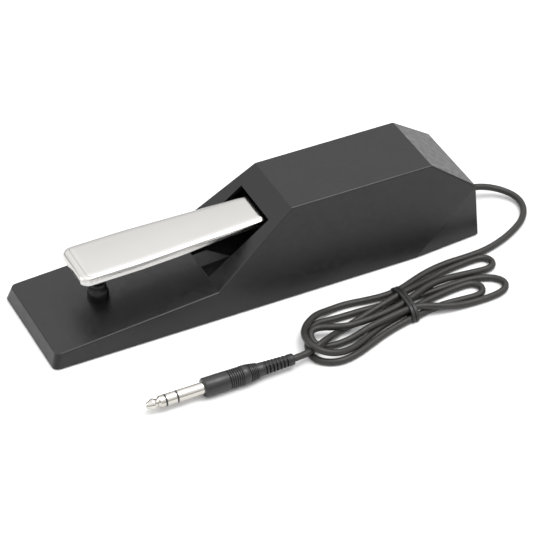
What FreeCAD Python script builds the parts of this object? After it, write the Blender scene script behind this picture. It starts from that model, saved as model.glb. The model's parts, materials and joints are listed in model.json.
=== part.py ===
"""Sustain pedal for a keyboard: parametric FreeCAD document, millimetres.

Frame: +Z up, front (player's side) towards -Y, origin on the standing surface
under the middle of the pedal. Lengths called "..._at" in the sheet are measured
from the front edge towards the back.
"""
import FreeCAD, Part
import math
import os
import re
import Sketcher

os.makedirs("parts", exist_ok=True)
doc = FreeCAD.newDocument("sustain_pedal")
Vector = FreeCAD.Vector
X_AXIS = Vector(1, 0, 0)
Y_AXIS = Vector(0, 1, 0)
Z_AXIS = Vector(0, 0, 1)

# ---------------------------------------------------------------- dimensions
DIMENSIONS = [
    # housing shell
    ("body_length", 245.4), ("half_width", 33.0), ("side_lean", 13.3),
    ("shell_lift", 0.8), ("wall", 2.5),
    ("nose_setback", 2.4), ("nose_height", 7.7),
    ("slope_at", 93.2), ("slope_height", 14.4),
    ("top_at", 138.5), ("top_height", 48.1), ("top_end_at", 220.0),
    ("tail_at", 244.6), ("tail_height", 29.9),
    ("facet_at", 206.7), ("tail_half_width", 29.75),
    ("nose_corner", 3.5), ("edge_round", 0.9),
    ("opening_half", 16.2), ("opening_at", 93.6), ("opening_floor", 11.0),
    ("opening_top", 40.3), ("opening_back_at", 136.0),
    ("boss_radius", 3.5), ("pilot_radius", 1.25),
    # underside
    ("mat_thick", 1.2), ("plate_thick", 1.6), ("plate_half", 29.6),
    ("plate_front_at", 3.6), ("plate_back_at", 242.2), ("plate_back_half", 26.6),
    ("mat_half", 27.0), ("mat_front_at", 20.0), ("mat_back_at", 224.0),
    ("case_screw_radius", 1.5), ("case_head_radius", 3.0), ("case_head_tall", 1.05),
    # tongue in the opening
    ("tongue_half", 5.3), ("tongue_drop", 1.0), ("tongue_thick", 2.0),
    ("tongue_left_at", 102.4), ("tongue_right_at", 111.0),
    # lever
    ("pivot_at", 186.0), ("pivot_height", 27.0), ("rest_tilt", 1.0),
    ("cap_top", 12.7), ("cap_deep", 5.6), ("cap_sheet", 1.5), ("cap_lip", 2.8),
    ("cap_front_at", 25.0), ("cap_knee_at", 58.0), ("cap_back_at", 130.0),
    ("cap_front_half", 14.8), ("cap_back_half", 11.6),
    ("cap_front_corner", 4.5), ("cap_back_corner", 2.4), ("cap_edge_round", 2.0),
    ("cap_taper_at", 80.0),
    ("arm_half", 10.0), ("arm_top", 9.7), ("arm_web", 3.0), ("arm_cheek", 2.0),
    ("arm_front_at", 34.0), ("arm_step_at", 128.0), ("arm_back_at", 208.0),
    ("cheek_front_at", 128.0), ("cheek_low", 7.5),
    ("axle_radius", 3.0), ("axle_half", 16.6),
    ("bush_bore", 3.05), ("bush_radius", 4.5), ("bush_flange_radius", 6.0),
    ("bush_flange", 1.2),
    # pivot bracket and rest stop
    ("bracket_inside", 11.5), ("bracket_sheet", 2.4), ("bracket_top", 44.2),
    ("bracket_front_at", 161.0), ("bracket_back_at", 195.0),
    ("stop_at", 168.0), ("stop_bar_radius", 2.5), ("stop_sleeve_radius", 4.0),
    ("stop_gap", 0.15),
    ("clip_radius", 4.8), ("clip_thick", 0.8),
    # return spring
    ("spring_at", 150.0), ("spring_mean_radius", 5.6), ("spring_wire", 0.8),
    ("spring_turns", 7.0), ("spring_top", 31.9),
    ("seat_radius", 9.0), ("seat_thick", 1.4), ("seat_peg_radius", 4.2),
    ("seat_peg_tall", 5.8),
    # front bumper
    ("bumper_at", 39.0), ("bumper_tall", 9.3), ("bumper_radius", 5.65),
    ("bumper_foot", 4.7), ("bumper_stem", 2.5),
    # position sensor
    ("sensor_reach", 32.0), ("pin_reach", 24.0), ("pin_radius", 1.5),
    ("fork_half", 1.5), ("fork_slot", 1.8), ("crank_near", 2.3), ("crank_far", 6.3),
    ("crank_radius", 5.0), ("shaft_radius", 3.0), ("pot_bush_radius", 3.5),
    ("pot_plate_near", 8.5), ("pot_plate", 1.5), ("pot_radius", 8.0), ("pot_deep", 8.5),
    ("pot_nut_flat", 5.0), ("pot_plate_top", 38.0), ("sensor_back_at", 227.0),
    # cable and plug
    ("cord_diameter", 3.6), ("gland_height", 8.8), ("gland_neck", 4.0),
    ("plug_beside", 81.9), ("plug_tip_at", 28.3), ("plug_radius", 3.175),
    ("barrel_radius", 5.0), ("hank_tall", 6.8),
    ("tie_at", 181.6), ("tie_wide", 4.6), ("tie_thick", 1.0),
]

sheet = doc.addObject("Spreadsheet::Sheet", "Dims")
dim = {}
for row, (alias, number) in enumerate(DIMENSIONS, start=1):
    sheet.set("A%d" % row, alias)
    sheet.set("B%d" % row, str(number))
    sheet.setAlias("B%d" % row, alias)
    dim[alias] = number
doc.recompute()

# Heights that many sub-parts share.
PLATE_TOP = "mat_thick + plate_thick"
LID_SLOPE = (dim["slope_height"] - dim["nose_height"]) / (dim["slope_at"] - dim["nose_setback"])


def formula(text):
    """Turn a formula in plain alias names into one that points at the sheet."""
    def link(match):
        word = match.group(0)
        return "Dims." + word if word in dim else word
    return re.sub(r"[a-z][a-z_]+", link, text)


def bind(item, prop, text):
    item.setExpression(prop, formula(text))


def amount(text):
    """The present value of a formula, for places and for checks."""
    found = doc.getObject("Dims").evalExpression(re.sub(r"Dims\.", "", formula(text)))
    return float(getattr(found, "Value", found))


def along(text):
    """Distance from the front edge turned into a Y coordinate."""
    return "(%s) - body_length / 2" % text


# ------------------------------------------------------------ drawing helpers
def new_body(label):
    body = doc.addObject("PartDesign::Body", label)
    body.Label = label
    return body


def sketch_on(body, role, name, offset="0"):
    """Sketch on one of the body's own origin planes, moved along its normal."""
    sketch = body.newObject("Sketcher::SketchObject", name)
    plane = [item for item in body.Origin.OriginFeatures if item.Role == role][0]
    sketch.AttachmentSupport = [(plane, "")]
    sketch.MapMode = "FlatFace"
    bind(sketch, "AttachmentOffset.Base.z", offset)
    return sketch


def hold(sketch, constraint, text):
    number = sketch.addConstraint(constraint)
    bind(sketch, "Constraints[%d]" % number, text)


def outline(sketch, corners):
    """Closed polygon; each corner is held by its two distances from the origin."""
    spots = [Vector(amount(across), amount(up), 0) for across, up in corners]
    lines = []
    for here, there in zip(spots, spots[1:] + spots[:1]):
        lines.append(sketch.addGeometry(Part.LineSegment(here, there), False))
    for here, there in zip(lines, lines[1:] + lines[:1]):
        sketch.addConstraint(Sketcher.Constraint("Coincident", here, 2, there, 1))
    for line, spot, (across, up) in zip(lines, spots, corners):
        hold(sketch, Sketcher.Constraint("DistanceX", -1, 1, line, 1, spot.x), across)
        hold(sketch, Sketcher.Constraint("DistanceY", -1, 1, line, 1, spot.y), up)


def ring(sketch, across, up, radius):
    """Circle held by its centre and radius."""
    centre = Vector(amount(across), amount(up), 0)
    circle = sketch.addGeometry(Part.Circle(centre, Z_AXIS, amount(radius)), False)
    hold(sketch, Sketcher.Constraint("DistanceX", -1, 1, circle, 3, centre.x), across)
    hold(sketch, Sketcher.Constraint("DistanceY", -1, 1, circle, 3, centre.y), up)
    hold(sketch, Sketcher.Constraint("Radius", circle, amount(radius)), radius)


def pad(body, sketch, length, name, both_ways=False, down=False):
    feature = body.newObject("PartDesign::Pad", name)
    feature.Profile = sketch
    feature.SideType = "Symmetric" if both_ways else "One side"
    feature.Reversed = down
    bind(feature, "Length", length)
    body.Tip = feature
    doc.recompute()
    return feature


def pocket(body, sketch, length, name, both_ways=False, flip=False):
    """Cut, and refuse a cut that removed nothing."""
    before = body.Shape.Volume
    feature = body.newObject("PartDesign::Pocket", name)
    feature.Profile = sketch
    feature.SideType = "Symmetric" if both_ways else "One side"
    feature.Reversed = flip
    bind(feature, "Length", length)
    body.Tip = feature
    doc.recompute()
    if not feature.Shape.Volume < before - 0.01:
        raise RuntimeError("%s cuts nothing from %s" % (name, body.Label))
    return feature


def edges_where(feature, test):
    return ["Edge%d" % number for number, edge in enumerate(feature.Shape.Edges, start=1)
            if test(edge)]


def rounded(body, base, names, radius, name):
    feature = body.newObject("PartDesign::Fillet", name)
    feature.Base = (base, names)
    bind(feature, "Radius", radius)
    body.Tip = feature
    doc.recompute()
    if not names or not feature.isValid() or feature.Shape.Volume <= 0:
        raise RuntimeError("%s of %s failed on %s" % (name, body.Label, names))
    return feature


def middle(edge):
    return edge.valueAt((edge.FirstParameter + edge.LastParameter) / 2)


def cylinder(name, radius, height, place, direction=Z_AXIS):
    """Part::Cylinder bound to the sheet, its foot at place, rising along direction."""
    item = doc.addObject("Part::Cylinder", name)
    bind(item, "Radius", radius)
    bind(item, "Height", height)
    item.Placement = FreeCAD.Placement(place, FreeCAD.Rotation(Z_AXIS, direction))
    return item


def box(name, length, width, height, place):
    item = doc.addObject("Part::Box", name)
    bind(item, "Length", length)
    bind(item, "Width", width)
    bind(item, "Height", height)
    item.Placement = FreeCAD.Placement(place, FreeCAD.Rotation())
    return item


def joined(label, items):
    item = doc.addObject("Part::MultiFuse", label)
    item.Shapes = items
    item.Label = label
    doc.recompute()
    return item


def cut_from(label, base, tool):
    item = doc.addObject("Part::Cut", label)
    item.Base = base
    item.Tool = tool
    item.Label = label
    doc.recompute()
    return item


def group(label, items):
    """Several like solids in one sub-part."""
    item = doc.addObject("Part::Compound", label)
    item.Links = items
    item.Label = label
    doc.recompute()
    return item


def feature_of(label, shape):
    item = doc.addObject("Part::Feature", label)
    item.Shape = shape
    item.Label = label
    return item


def turned(label, steps, place, direction):
    """Solid of revolution from (distance along, radius) steps, as a Part::Feature."""
    points = [Vector(radius, 0, reach) for reach, radius in steps]
    first = Vector(0, 0, steps[0][0])
    last = Vector(0, 0, steps[-1][0])
    corners = [first] + [spot for spot in points if spot.x > 0] + [last]
    face = Part.Face(Part.makePolygon(corners + [first]))
    item = feature_of(label, face.revolve(Vector(0, 0, 0), Z_AXIS, 360))
    item.Placement = FreeCAD.Placement(place, FreeCAD.Rotation(Z_AXIS, direction))
    return item


def hexagon(flat_half, thick):
    corner = flat_half / math.cos(math.pi / 6)
    points = [Vector(corner * math.cos(step * math.pi / 3), corner * math.sin(step * math.pi / 3), 0)
              for step in range(6)]
    return Part.Face(Part.makePolygon(points + points[:1])).extrude(Vector(0, 0, thick))


def front_y(distance):
    """Y of a point that far behind the front edge."""
    return distance - dim["body_length"] / 2


def on_lever(reach, height, beside=0.0):
    """World place of a point given from the pivot in the lever's own tilted frame."""
    tilt = math.radians(dim["rest_tilt"])
    back = reach * math.cos(tilt) - height * math.sin(tilt)
    rise = reach * math.sin(tilt) + height * math.cos(tilt)
    return Vector(beside, front_y(dim["pivot_at"]) + back, dim["pivot_height"] + rise)


def lever_placement():
    return FreeCAD.Placement(on_lever(0, 0), FreeCAD.Rotation(X_AXIS, dim["rest_tilt"]))


def lid_height(distance):
    """Height of the sloping base top, that far behind the front edge."""
    return dim["shell_lift"] + dim["nose_height"] + (distance - dim["nose_setback"]) * LID_SLOPE


# ------------------------------------------------------------- housing shell
# Case screws: distance beside the middle, distance from the front, boss height.
CASE_SCREWS = [(22.0, 14.0, 4.6), (22.0, 82.0, 10.0), (23.0, 232.0, 22.0)]
CASE_SCREW_REACH = [3.0, 7.0, 9.0]


def side_profile():
    lift = "shell_lift + "
    return [
        (along("0"), "shell_lift"),
        (along("nose_setback"), lift + "nose_height"),
        (along("slope_at"), lift + "slope_height"),
        (along("top_at"), lift + "top_height"),
        (along("top_end_at"), lift + "top_height"),
        (along("tail_at"), lift + "tail_height"),
        (along("body_length"), "shell_lift"),
    ]


def trim_sides(body):
    """Both long sides lean inwards from the bottom edge to the top."""
    sketch = sketch_on(body, "XZ_Plane", "LeaningSides")
    for side in ("", "-"):
        low = "%s(half_width + tan(side_lean * 1 deg))" % side
        high = "%s(half_width - tan(side_lean * 1 deg) * (top_height + 1))" % side
        outside = "%s(half_width + 8)" % side
        outline(sketch, [
            (low, "shell_lift - 1"),
            (outside, "shell_lift - 1"),
            (outside, "shell_lift + top_height + 1"),
            (high, "shell_lift + top_height + 1"),
        ])
    pocket(body, sketch, "body_length * 2", "TrimSides", both_ways=True)


def cut_tail_facets(body):
    """A triangular facet takes each rear lower corner in."""
    sketch = sketch_on(body, "XZ_Plane", "TailFacet", "-body_length / 2")
    top_half = "half_width - tan(side_lean * 1 deg) * tail_height"
    lean = "(tail_half_width - (%s)) / tail_height" % top_half
    outline(sketch, [
        ("tail_half_width + (%s)" % lean, "shell_lift - 1"),
        ("tail_half_width + 12", "shell_lift - 1"),
        ("tail_half_width + 12", "shell_lift + top_height"),
        ("tail_half_width - (%s) * top_height" % lean, "shell_lift + top_height"),
    ])
    cut = body.newObject("PartDesign::Pocket", "CutTailFacet")
    cut.Profile = sketch
    cut.UseCustomVector = True
    cut.AlongSketchNormal = False
    cut.Direction = Vector(dim["half_width"] - dim["tail_half_width"],
                           dim["facet_at"] - dim["body_length"], 0)
    bind(cut, "Length", "(body_length - facet_at) * 1.6")
    body.Tip = cut
    doc.recompute()
    mirror = body.newObject("PartDesign::Mirrored", "BothFacets")
    mirror.Originals = [cut]
    plane = [item for item in body.Origin.OriginFeatures if item.Role == "YZ_Plane"][0]
    mirror.MirrorPlane = (plane, [""])
    body.Tip = mirror
    doc.recompute()
    return mirror


def hollow_out(body, solid):
    """Even wall, open underneath."""
    floor = min(range(len(solid.Shape.Faces)), key=lambda n: solid.Shape.Faces[n].CenterOfMass.z)
    skin = body.newObject("PartDesign::Thickness", "Walls")
    skin.Base = (solid, ["Face%d" % (floor + 1)])
    skin.Mode = "Skin"
    skin.Join = "Intersection"
    skin.Reversed = True
    bind(skin, "Value", "wall")
    body.Tip = skin
    doc.recompute()
    return skin


def soften_edges(body, solid, skin):
    """Small round on the outer edges of the nose, the long sides and the roof."""
    rim = dim["shell_lift"] + 0.05
    outer = [middle(edge) for edge in solid.Shape.Edges if middle(edge).z > rim]
    tail_top = dim["shell_lift"] + dim["tail_height"] + 1

    def is_softened(edge):
        spot = middle(edge)
        inner_crease = abs(spot.y - front_y(dim["slope_at"])) < 0.5
        round_the_tail = spot.y > front_y(dim["facet_at"]) and spot.z < tail_top
        if edge.Length < 1 or inner_crease or round_the_tail:
            return False
        return any(spot.distanceToPoint(other) < 0.02 for other in outer)

    return rounded(body, skin, edges_where(skin, is_softened), "edge_round", "SoftEdges")


def cut_opening(body):
    """Mouth in the front slope, through which the lever comes out."""
    sketch = sketch_on(body, "YZ_Plane", "Opening")
    outline(sketch, [
        (along("opening_at"), "shell_lift + opening_floor"),
        (along("opening_back_at"), "shell_lift + opening_floor"),
        (along("opening_back_at"), "shell_lift + opening_top"),
        (along("opening_at"), "shell_lift + opening_top"),
    ])
    pocket(body, sketch, "opening_half * 2", "CutOpening", both_ways=True)


def add_bosses(body):
    for number, (beside, distance, tall) in enumerate(CASE_SCREWS, start=1):
        sketch = sketch_on(body, "XY_Plane", "Boss%d" % number, PLATE_TOP)
        hole = sketch_on(body, "XY_Plane", "Pilot%d" % number, PLATE_TOP)
        for side in (-1, 1):
            ring(sketch, "%s" % (side * beside), along("%s" % distance), "boss_radius")
            ring(hole, "%s" % (side * beside), along("%s" % distance), "pilot_radius")
        pad(body, sketch, "%s" % tall, "PadBoss%d" % number)
        pocket(body, hole, "%s" % (CASE_SCREW_REACH[number - 1] + 0.5), "CutPilot%d" % number, flip=True)


def make_housing_shell():
    body = new_body("housing_shell")
    profile = sketch_on(body, "YZ_Plane", "SideProfile")
    outline(profile, side_profile())
    pad(body, profile, "half_width * 2 + 4", "Block", both_ways=True)
    trim_sides(body)
    faceted = cut_tail_facets(body)

    def is_nose_corner(edge):
        spot = middle(edge)
        upright = abs(edge.Vertexes[0].Z - edge.Vertexes[-1].Z) > 2
        return upright and spot.y < front_y(dim["nose_setback"] + 1)

    block = rounded(body, faceted, edges_where(faceted, is_nose_corner), "nose_corner", "NoseCorners")
    skin = hollow_out(body, block)
    soften_edges(body, block, skin)
    cut_opening(body)
    add_bosses(body)
    bumper_hole = sketch_on(body, "XY_Plane", "BumperHole", "shell_lift + slope_height")
    ring(bumper_hole, "0", along("bumper_at"), "bumper_stem + 0.2")
    pocket(body, bumper_hole, "slope_height - 3", "CutBumperHole")
    gland_hole = sketch_on(body, "XZ_Plane", "GlandHole", "-body_length / 2 - 1")
    ring(gland_hole, "0", "gland_height", "gland_neck")
    pocket(body, gland_hole, "wall * 3", "CutGlandHole", flip=True)
    return body


def make_inner_tongue():
    """Narrow tongue that carries the base top on into the opening, a little lower."""
    def under(distance):
        return "shell_lift + nose_height - tongue_drop + (%s - nose_setback) * %s" % (distance, slope)
    slope = "(slope_height - nose_height) / (slope_at - nose_setback)"
    body = new_body("inner_tongue")
    sketch = sketch_on(body, "YZ_Plane", "Section")
    outline(sketch, [
        (along("opening_at"), under("opening_at")),
        (along("tongue_right_at"), under("tongue_right_at")),
        (along("tongue_right_at"), under("tongue_right_at") + " - tongue_thick"),
        (along("opening_at"), under("opening_at") + " - tongue_thick"),
    ])
    pad(body, sketch, "tongue_half * 2", "Strip", both_ways=True)
    end = sketch_on(body, "XY_Plane", "SlantedEnd", "shell_lift + top_height")
    outline(end, [
        ("-tongue_half - 1", along("tongue_left_at - (tongue_right_at - tongue_left_at) / tongue_half / 2")),
        ("tongue_half", along("tongue_right_at")),
        ("-tongue_half - 1", along("tongue_right_at + 1")),
    ])
    pocket(body, end, "top_height", "CutEnd")
    return body


# ----------------------------------------------------------------- underside
def make_bottom_plate():
    body = new_body("bottom_plate")
    sketch = sketch_on(body, "XY_Plane", "Outline", "mat_thick")
    outline(sketch, [
        ("-plate_half", along("plate_front_at")),
        ("plate_half", along("plate_front_at")),
        ("plate_half", along("facet_at")),
        ("plate_back_half", along("plate_back_at")),
        ("-plate_back_half", along("plate_back_at")),
        ("-plate_half", along("facet_at")),
    ])
    blank = pad(body, sketch, "plate_thick", "Blank")

    def is_front_corner(edge):
        upright = abs(edge.Vertexes[0].Z - edge.Vertexes[-1].Z) > 1
        return upright and middle(edge).y < front_y(10)

    rounded(body, blank, edges_where(blank, is_front_corner), "wall", "FrontCorners")
    holes = sketch_on(body, "XY_Plane", "ScrewHoles", PLATE_TOP)
    for beside, distance, _tall in CASE_SCREWS:
        for side in (-1, 1):
            ring(holes, "%s" % (side * beside), along("%s" % distance), "case_screw_radius + 0.2")
    for beside, distance in BRACKET_SCREWS:
        ring(holes, "%s" % beside, along("%s" % distance), "%s" % BRACKET_SCREW_RADIUS)
    for beside, distance in SENSOR_SCREWS:
        ring(holes, "%s" % beside, along("%s" % distance), "%s" % SENSOR_SCREW_RADIUS)
    pocket(body, holes, "plate_thick", "CutScrewHoles")
    return body


def make_rubber_mat():
    body = new_body("rubber_mat")
    sketch = sketch_on(body, "XY_Plane", "Outline")
    outline(sketch, [
        ("-mat_half", along("mat_front_at")),
        ("mat_half", along("mat_front_at")),
        ("mat_half", along("mat_back_at")),
        ("-mat_half", along("mat_back_at")),
    ])
    blank = pad(body, sketch, "mat_thick", "Blank")

    def is_corner(edge):
        return abs(edge.Vertexes[0].Z - edge.Vertexes[-1].Z) > 1

    rounded(body, blank, edges_where(blank, is_corner), "nose_corner", "Corners")
    beside, distance, _tall = CASE_SCREWS[1]
    holes = sketch_on(body, "XY_Plane", "HeadHoles", "mat_thick")
    for side in (-1, 1):
        ring(holes, "%s" % (side * beside), along("%s" % distance), "case_head_radius + 0.6")
    pocket(body, holes, "mat_thick", "CutHeadHoles")
    return body


def make_case_screws():
    """Pan-head self-tapping screws, from below into the shell's bosses."""
    screws = []
    head_bottom = dim["mat_thick"] - dim["case_head_tall"]
    for number, (beside, distance, _tall) in enumerate(CASE_SCREWS):
        for side in (-1, 1):
            foot = Vector(side * beside, front_y(distance), head_bottom)
            tag = "CaseScrew%d%s" % (number, "L" if side < 0 else "R")
            head = cylinder(tag + "Head", "case_head_radius", "case_head_tall", foot)
            reach = "case_head_tall + plate_thick + %s" % CASE_SCREW_REACH[number]
            shank = cylinder(tag + "Shank", "case_screw_radius", reach, foot)
            screws.append(joined(tag, [head, shank]))
    return group("case_screws", screws)


# --------------------------------------------------------------------- lever
def reach_of(text):
    """Distance from the front edge turned into a reach from the pivot."""
    return "(%s) - pivot_at" % text


CAP_STUDS = [66.0, 106.0]
STUD_RADIUS = 1.5
STUD_NUT_TALL = 2.4
STUD_END = 0.7  # thread left beyond the nut
STUD_NUT_FLAT = 2.75


def make_lever_cap():
    """Pressed cover: flat top, turned-down rim that runs out towards the back."""
    body = new_body("lever_cap")

    def plan(name, height, sunk="0"):
        sketch = sketch_on(body, "XY_Plane", name, height)
        outline(sketch, [
            ("-(cap_front_half - %s)" % sunk, reach_of("cap_front_at + %s" % sunk)),
            ("cap_front_half - %s" % sunk, reach_of("cap_front_at + %s" % sunk)),
            ("cap_front_half - %s" % sunk, reach_of("cap_knee_at")),
            ("cap_back_half - %s" % sunk, reach_of("cap_back_at - %s" % sunk)),
            ("-(cap_back_half - %s)" % sunk, reach_of("cap_back_at - %s" % sunk)),
            ("-(cap_front_half - %s)" % sunk, reach_of("cap_knee_at")),
        ])
        return sketch

    block = pad(body, plan("Plan", "cap_top - cap_deep"), "cap_deep", "Block")

    def is_upright(edge):
        return abs(edge.Vertexes[0].Z - edge.Vertexes[-1].Z) > 1

    knee = dim["cap_knee_at"] - dim["pivot_at"]
    front_edges = edges_where(block, lambda e: is_upright(e) and middle(e).y < knee - 5)
    front = rounded(body, block, front_edges, "cap_front_corner", "FrontCorners")
    back_edges = edges_where(front, lambda e: is_upright(e) and middle(e).y > knee + 5)
    back = rounded(body, front, back_edges, "cap_back_corner", "BackCorners")
    top_edges = edges_where(back, lambda e: middle(e).z > dim["cap_top"] - 0.01)
    rounded(body, back, top_edges, "cap_edge_round", "TopRound")
    inside = plan("Inside", "cap_top - cap_deep", "cap_sheet")
    pocket(body, inside, "cap_deep - cap_sheet", "HollowInside", flip=True)
    taper = sketch_on(body, "YZ_Plane", "RimRunout")
    outline(taper, [
        (reach_of("cap_taper_at"), "cap_top - cap_deep"),
        (reach_of("cap_back_at + 1"), "cap_top - cap_lip"),
        (reach_of("cap_back_at + 1"), "cap_top - cap_deep - 2"),
        (reach_of("cap_taper_at"), "cap_top - cap_deep - 2"),
    ])
    pocket(body, taper, "cap_front_half * 3", "CutRunout", both_ways=True)
    body.Placement = lever_placement()
    return body


def make_lever_arm():
    """Steel channel, thicker under the cap; its two cheeks carry the pivot bushes."""
    body = new_body("lever_arm")
    web_low = "arm_top - arm_web"
    sketch = sketch_on(body, "YZ_Plane", "SideProfile")
    outline(sketch, [
        (reach_of("arm_front_at"), web_low),
        (reach_of("arm_front_at"), "cap_top - cap_sheet"),
        (reach_of("arm_step_at"), "cap_top - cap_sheet"),
        (reach_of("arm_step_at"), "arm_top"),
        (reach_of("arm_back_at"), "arm_top"),
        (reach_of("arm_back_at"), web_low),
        (reach_of("pivot_at + 13"), web_low),
        (reach_of("pivot_at + 8"), "-cheek_low"),
        (reach_of("pivot_at - 8"), "-cheek_low"),
        (reach_of("cheek_front_at"), web_low),
    ])
    pad(body, sketch, "arm_half * 2", "Bar", both_ways=True)
    inside = sketch_on(body, "YZ_Plane", "ChannelInside")
    outline(inside, [
        (reach_of("cheek_front_at - 2"), "-cheek_low - 1"),
        (reach_of("cheek_front_at - 2"), web_low),
        (reach_of("arm_back_at + 1"), web_low),
        (reach_of("arm_back_at + 1"), "-cheek_low - 1"),
    ])
    pocket(body, inside, "(arm_half - arm_cheek) * 2", "HollowChannel", both_ways=True)
    holes = sketch_on(body, "YZ_Plane", "BushHoles")
    ring(holes, "0", "0", "bush_radius")
    pocket(body, holes, "arm_half * 3", "CutBushHoles", both_ways=True)
    studs = sketch_on(body, "XY_Plane", "StudHoles", "cap_top")
    for distance in CAP_STUDS:
        ring(studs, "0", reach_of("%s" % distance), "%s" % (STUD_RADIUS + 0.15))
    pocket(body, studs, "cap_deep + 1", "CutStudHoles")
    body.Placement = lever_placement()
    return body


def make_cap_studs():
    studs = []
    web_low = dim["arm_top"] - dim["arm_web"]
    tall = dim["cap_top"] - dim["cap_sheet"] - web_low + STUD_NUT_TALL + STUD_END
    for distance in CAP_STUDS:
        reach = distance - dim["pivot_at"]
        foot = on_lever(reach, dim["cap_top"] - dim["cap_sheet"] - tall)
        stud = cylinder("CapStud%d" % distance, "%s" % STUD_RADIUS, "%s" % tall, foot)
        stud.Placement = FreeCAD.Placement(foot, FreeCAD.Rotation(X_AXIS, dim["rest_tilt"]))
        studs.append(stud)
    return group("cap_studs", studs)


def make_cap_nuts():
    nuts = []
    low = dim["arm_top"] - dim["arm_web"] - STUD_NUT_TALL
    for distance in CAP_STUDS:
        blank = hexagon(STUD_NUT_FLAT, STUD_NUT_TALL)
        hole = Part.makeCylinder(STUD_RADIUS, STUD_NUT_TALL)
        nut = feature_of("CapNut%d" % distance, blank.cut(hole))
        foot = on_lever(distance - dim["pivot_at"], low)
        nut.Placement = FreeCAD.Placement(foot, FreeCAD.Rotation(X_AXIS, dim["rest_tilt"]))
        nuts.append(nut)
    return group("cap_nuts", nuts)


def make_pivot_bushes():
    """Flanged nylon bushes in the arm's cheeks."""
    bushes = []
    for side in (-1, 1):
        direction = X_AXIS * side
        start = on_lever(0, 0, side * (dim["arm_half"] - dim["arm_cheek"]))
        tag = "BushL" if side < 0 else "BushR"
        sleeve = cylinder(tag + "Sleeve", "bush_radius", "arm_cheek", start, direction)
        rim_start = on_lever(0, 0, side * dim["arm_half"])
        rim = cylinder(tag + "Rim", "bush_flange_radius", "bush_flange", rim_start, direction)
        bore = cylinder(tag + "Bore", "bush_bore", "arm_cheek + bush_flange", start, direction)
        bushes.append(cut_from(tag, joined(tag + "Solid", [sleeve, rim]), bore))
    return group("pivot_bushes", bushes)


def make_pivot_axle():
    start = on_lever(0, 0, -dim["axle_half"])
    axle = cylinder("pivot_axle", "axle_radius", "axle_half * 2", start, X_AXIS)
    return axle


def make_axle_clips():
    """Retaining rings outside the bracket's uprights."""
    clips = []
    for side in (-1, 1):
        beside = side * (dim["bracket_inside"] + dim["bracket_sheet"])
        start = on_lever(0, 0, beside)
        tag = "ClipL" if side < 0 else "ClipR"
        disc = cylinder(tag + "Disc", "clip_radius", "clip_thick", start, X_AXIS * side)
        hole = cylinder(tag + "Hole", "axle_radius", "clip_thick", start, X_AXIS * side)
        clips.append(cut_from(tag, disc, hole))
    return group("axle_clips", clips)


# ------------------------------------------------- pivot bracket, rest stop
BRACKET_SCREWS = [(-7.0, 172.0), (7.0, 172.0), (-7.0, 191.0), (7.0, 191.0)]
BRACKET_SCREW_RADIUS = 2.0
BRACKET_HEAD_RADIUS = 3.4
BRACKET_HEAD_TALL = 2.2


def stop_height():
    """Centre of the rest stop bar, a hair above the arm's web."""
    reach = dim["stop_at"] - dim["pivot_at"]
    web = on_lever(reach, dim["arm_top"])
    return web.z + dim["stop_gap"] + dim["stop_sleeve_radius"]


def make_pivot_bracket():
    body = new_body("pivot_bracket")
    outside = "(bracket_inside + bracket_sheet)"
    floor_top = PLATE_TOP + " + bracket_sheet"
    sketch = sketch_on(body, "XZ_Plane", "Section", "-(bracket_back_at - body_length / 2)")
    outline(sketch, [
        ("-" + outside, PLATE_TOP), (outside, PLATE_TOP),
        (outside, "bracket_top"), ("bracket_inside", "bracket_top"),
        ("bracket_inside", floor_top), ("-bracket_inside", floor_top),
        ("-bracket_inside", "bracket_top"), ("-" + outside, "bracket_top"),
    ])
    pad(body, sketch, "bracket_back_at - bracket_front_at", "Channel")
    shoulder = sketch_on(body, "YZ_Plane", "Shoulder")
    outline(shoulder, [
        (along("bracket_back_at + 1"), "pivot_height + 4"),
        (along("bracket_back_at + 1"), "bracket_top + 1"),
        (along("stop_at + 6"), "bracket_top + 1"),
    ])
    pocket(body, shoulder, "bracket_inside * 4", "CutShoulder", both_ways=True)
    holes = sketch_on(body, "YZ_Plane", "PinHoles")
    ring(holes, along("pivot_at"), "pivot_height", "axle_radius")
    ring(holes, along("stop_at"), "%s" % round(stop_height(), 4), "stop_bar_radius")
    pocket(body, holes, "bracket_inside * 4", "CutPinHoles", both_ways=True)
    feet = sketch_on(body, "XY_Plane", "ScrewHoles", floor_top)
    for beside, distance in BRACKET_SCREWS:
        ring(feet, "%s" % beside, along("%s" % distance), "%s" % BRACKET_SCREW_RADIUS)
    pocket(body, feet, "bracket_sheet", "CutScrewHoles")
    return body


def screws_from_above(label, spots, radius, head_radius, head_tall, sheet_thick):
    """Screws through a bracket's foot into the bottom plate."""
    screws = []
    foot = dim["mat_thick"]
    under_head = dim["mat_thick"] + dim["plate_thick"] + sheet_thick
    for number, (beside, distance) in enumerate(spots):
        place = Vector(beside, front_y(distance), foot)
        shank = Part.makeCylinder(radius, under_head - foot, place)
        head = Part.makeCylinder(head_radius, head_tall, Vector(place.x, place.y, under_head))
        screws.append(feature_of("%s%d" % (label.title().replace("_", ""), number), shank.fuse(head)))
    return group(label, screws)


def make_bracket_screws():
    return screws_from_above("bracket_screws", BRACKET_SCREWS, BRACKET_SCREW_RADIUS,
                             BRACKET_HEAD_RADIUS, BRACKET_HEAD_TALL, dim["bracket_sheet"])


def make_rest_stop_bar():
    half = dim["bracket_inside"] + dim["bracket_sheet"]
    start = Vector(-half, front_y(dim["stop_at"]), stop_height())
    return cylinder("rest_stop_bar", "stop_bar_radius",
                    "(bracket_inside + bracket_sheet) * 2", start, X_AXIS)


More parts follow.
